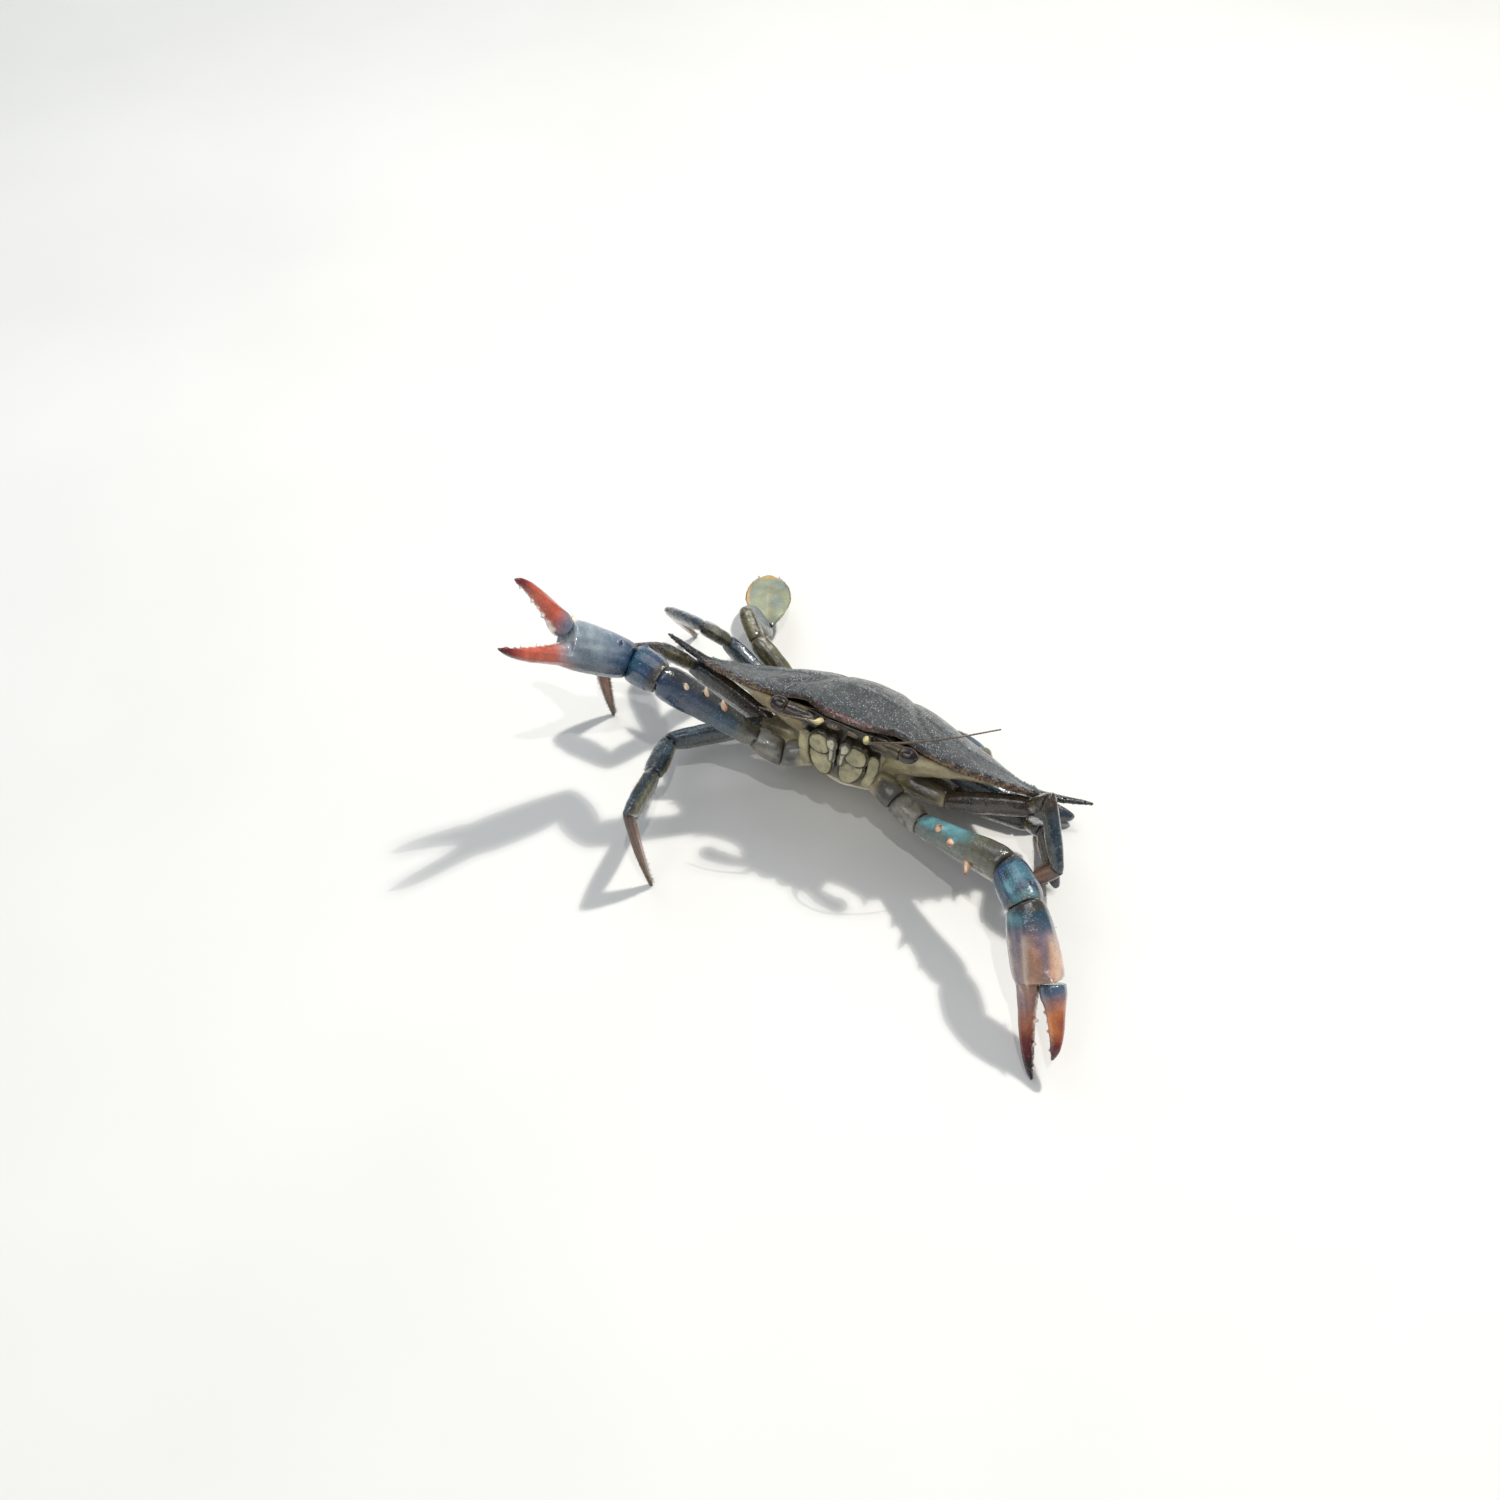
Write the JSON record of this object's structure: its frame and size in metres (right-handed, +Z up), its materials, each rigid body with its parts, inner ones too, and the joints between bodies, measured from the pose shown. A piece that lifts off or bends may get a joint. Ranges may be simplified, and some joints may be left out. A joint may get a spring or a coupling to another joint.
{
  "type": "blue crab model",
  "caption": "Life-size still model of a female blue crab standing with its front raised, one claw lifted open and the other lowered, swimming paddle spread behind.",
  "frame": {"origin": "centre of the bounding box on the floor", "axes": "+Z up; the crab faces -Y with its front raised, its left side is towards +X and its rear towards +Y"},
  "size_m": [0.193, 0.1468, 0.089],
  "materials": {
    "shell_slate": "wet shell, finely granular, slate to olive",
    "under_cream": "wet smooth cream underside with grey shading",
    "apron_cream": "smooth pale plate with faint cross seams",
    "mouth_olive": "wet olive-cream plates with dark seams",
    "eye_brown": "polished dark brown",
    "stalk_green": "wet green-brown",
    "antenna_brown": "thin ringed feeler, satin",
    "arm_blue": "wet deep blue with orange thorns",
    "palm_grey_blue": "wet grey-blue going to orange on the fixed finger",
    "finger_red": "wet coral red with maroon tip and pale teeth",
    "leg_dark_blue": "wet dark blue to olive",
    "leg_tip_brown": "brown-orange with a darker edge",
    "paddle_green": "grey-green with a yellow-orange rim",
    "hip_grey": "wet whitish grey"
  },
  "bodies": {
    "root": {"carapace": "shell_slate", "under_body": "under_cream", "apron": "apron_cream", "mouth_plate_right": "mouth_olive", "mouth_bar_right": "mouth_olive", "eye_stalk_right": "stalk_green", "eye_right": "eye_brown", "antenna_right": "antenna_brown", "antennule_right": "antenna_brown", "leg_right_2_merus": "leg_dark_blue", "leg_right_2_carpus": "leg_dark_blue", "leg_right_2_propodus": "leg_dark_blue", "leg_right_2_dactyl": "leg_tip_brown", "leg_right_3_merus": "leg_dark_blue", "leg_right_3_carpus": "leg_dark_blue", "leg_right_3_propodus": "leg_dark_blue", "leg_right_3_dactyl": "leg_tip_brown", "leg_right_4_merus": "leg_dark_blue", "leg_right_4_carpus": "leg_dark_blue", "leg_right_4_propodus": "leg_dark_blue", "leg_right_4_dactyl": "leg_tip_brown", "leg_right_5_merus": "leg_dark_blue", "leg_right_5_carpus": "leg_dark_blue", "leg_right_5_propodus": "leg_dark_blue", "leg_right_5_paddle": "paddle_green", "claw_right_base": "hip_grey", "claw_right_merus": "arm_blue", "claw_right_carpus": "arm_blue", "claw_right_palm": "palm_grey_blue", "claw_right_finger": "finger_red", "mouth_plate_left": "mouth_olive", "mouth_bar_left": "mouth_olive", "eye_stalk_left": "stalk_green", "eye_left": "eye_brown", "antenna_left": "antenna_brown", "antennule_left": "antenna_brown", "leg_left_2_merus": "leg_dark_blue", "leg_left_2_carpus": "leg_dark_blue", "leg_left_2_propodus": "leg_dark_blue", "leg_left_2_dactyl": "leg_tip_brown", "leg_left_3_merus": "leg_dark_blue", "leg_left_3_carpus": "leg_dark_blue", "leg_left_3_propodus": "leg_dark_blue", "leg_left_3_dactyl": "leg_tip_brown", "leg_left_4_merus": "leg_dark_blue", "leg_left_4_carpus": "leg_dark_blue", "leg_left_4_propodus": "leg_dark_blue", "leg_left_4_dactyl": "leg_tip_brown", "leg_left_5_merus": "leg_dark_blue", "leg_left_5_carpus": "leg_dark_blue", "leg_left_5_propodus": "leg_dark_blue", "leg_left_5_paddle": "paddle_green", "claw_left_base": "hip_grey", "claw_left_merus": "arm_blue", "claw_left_carpus": "arm_blue", "claw_left_palm": "palm_grey_blue", "claw_left_finger": "finger_red"}
  },
  "joints": []
}
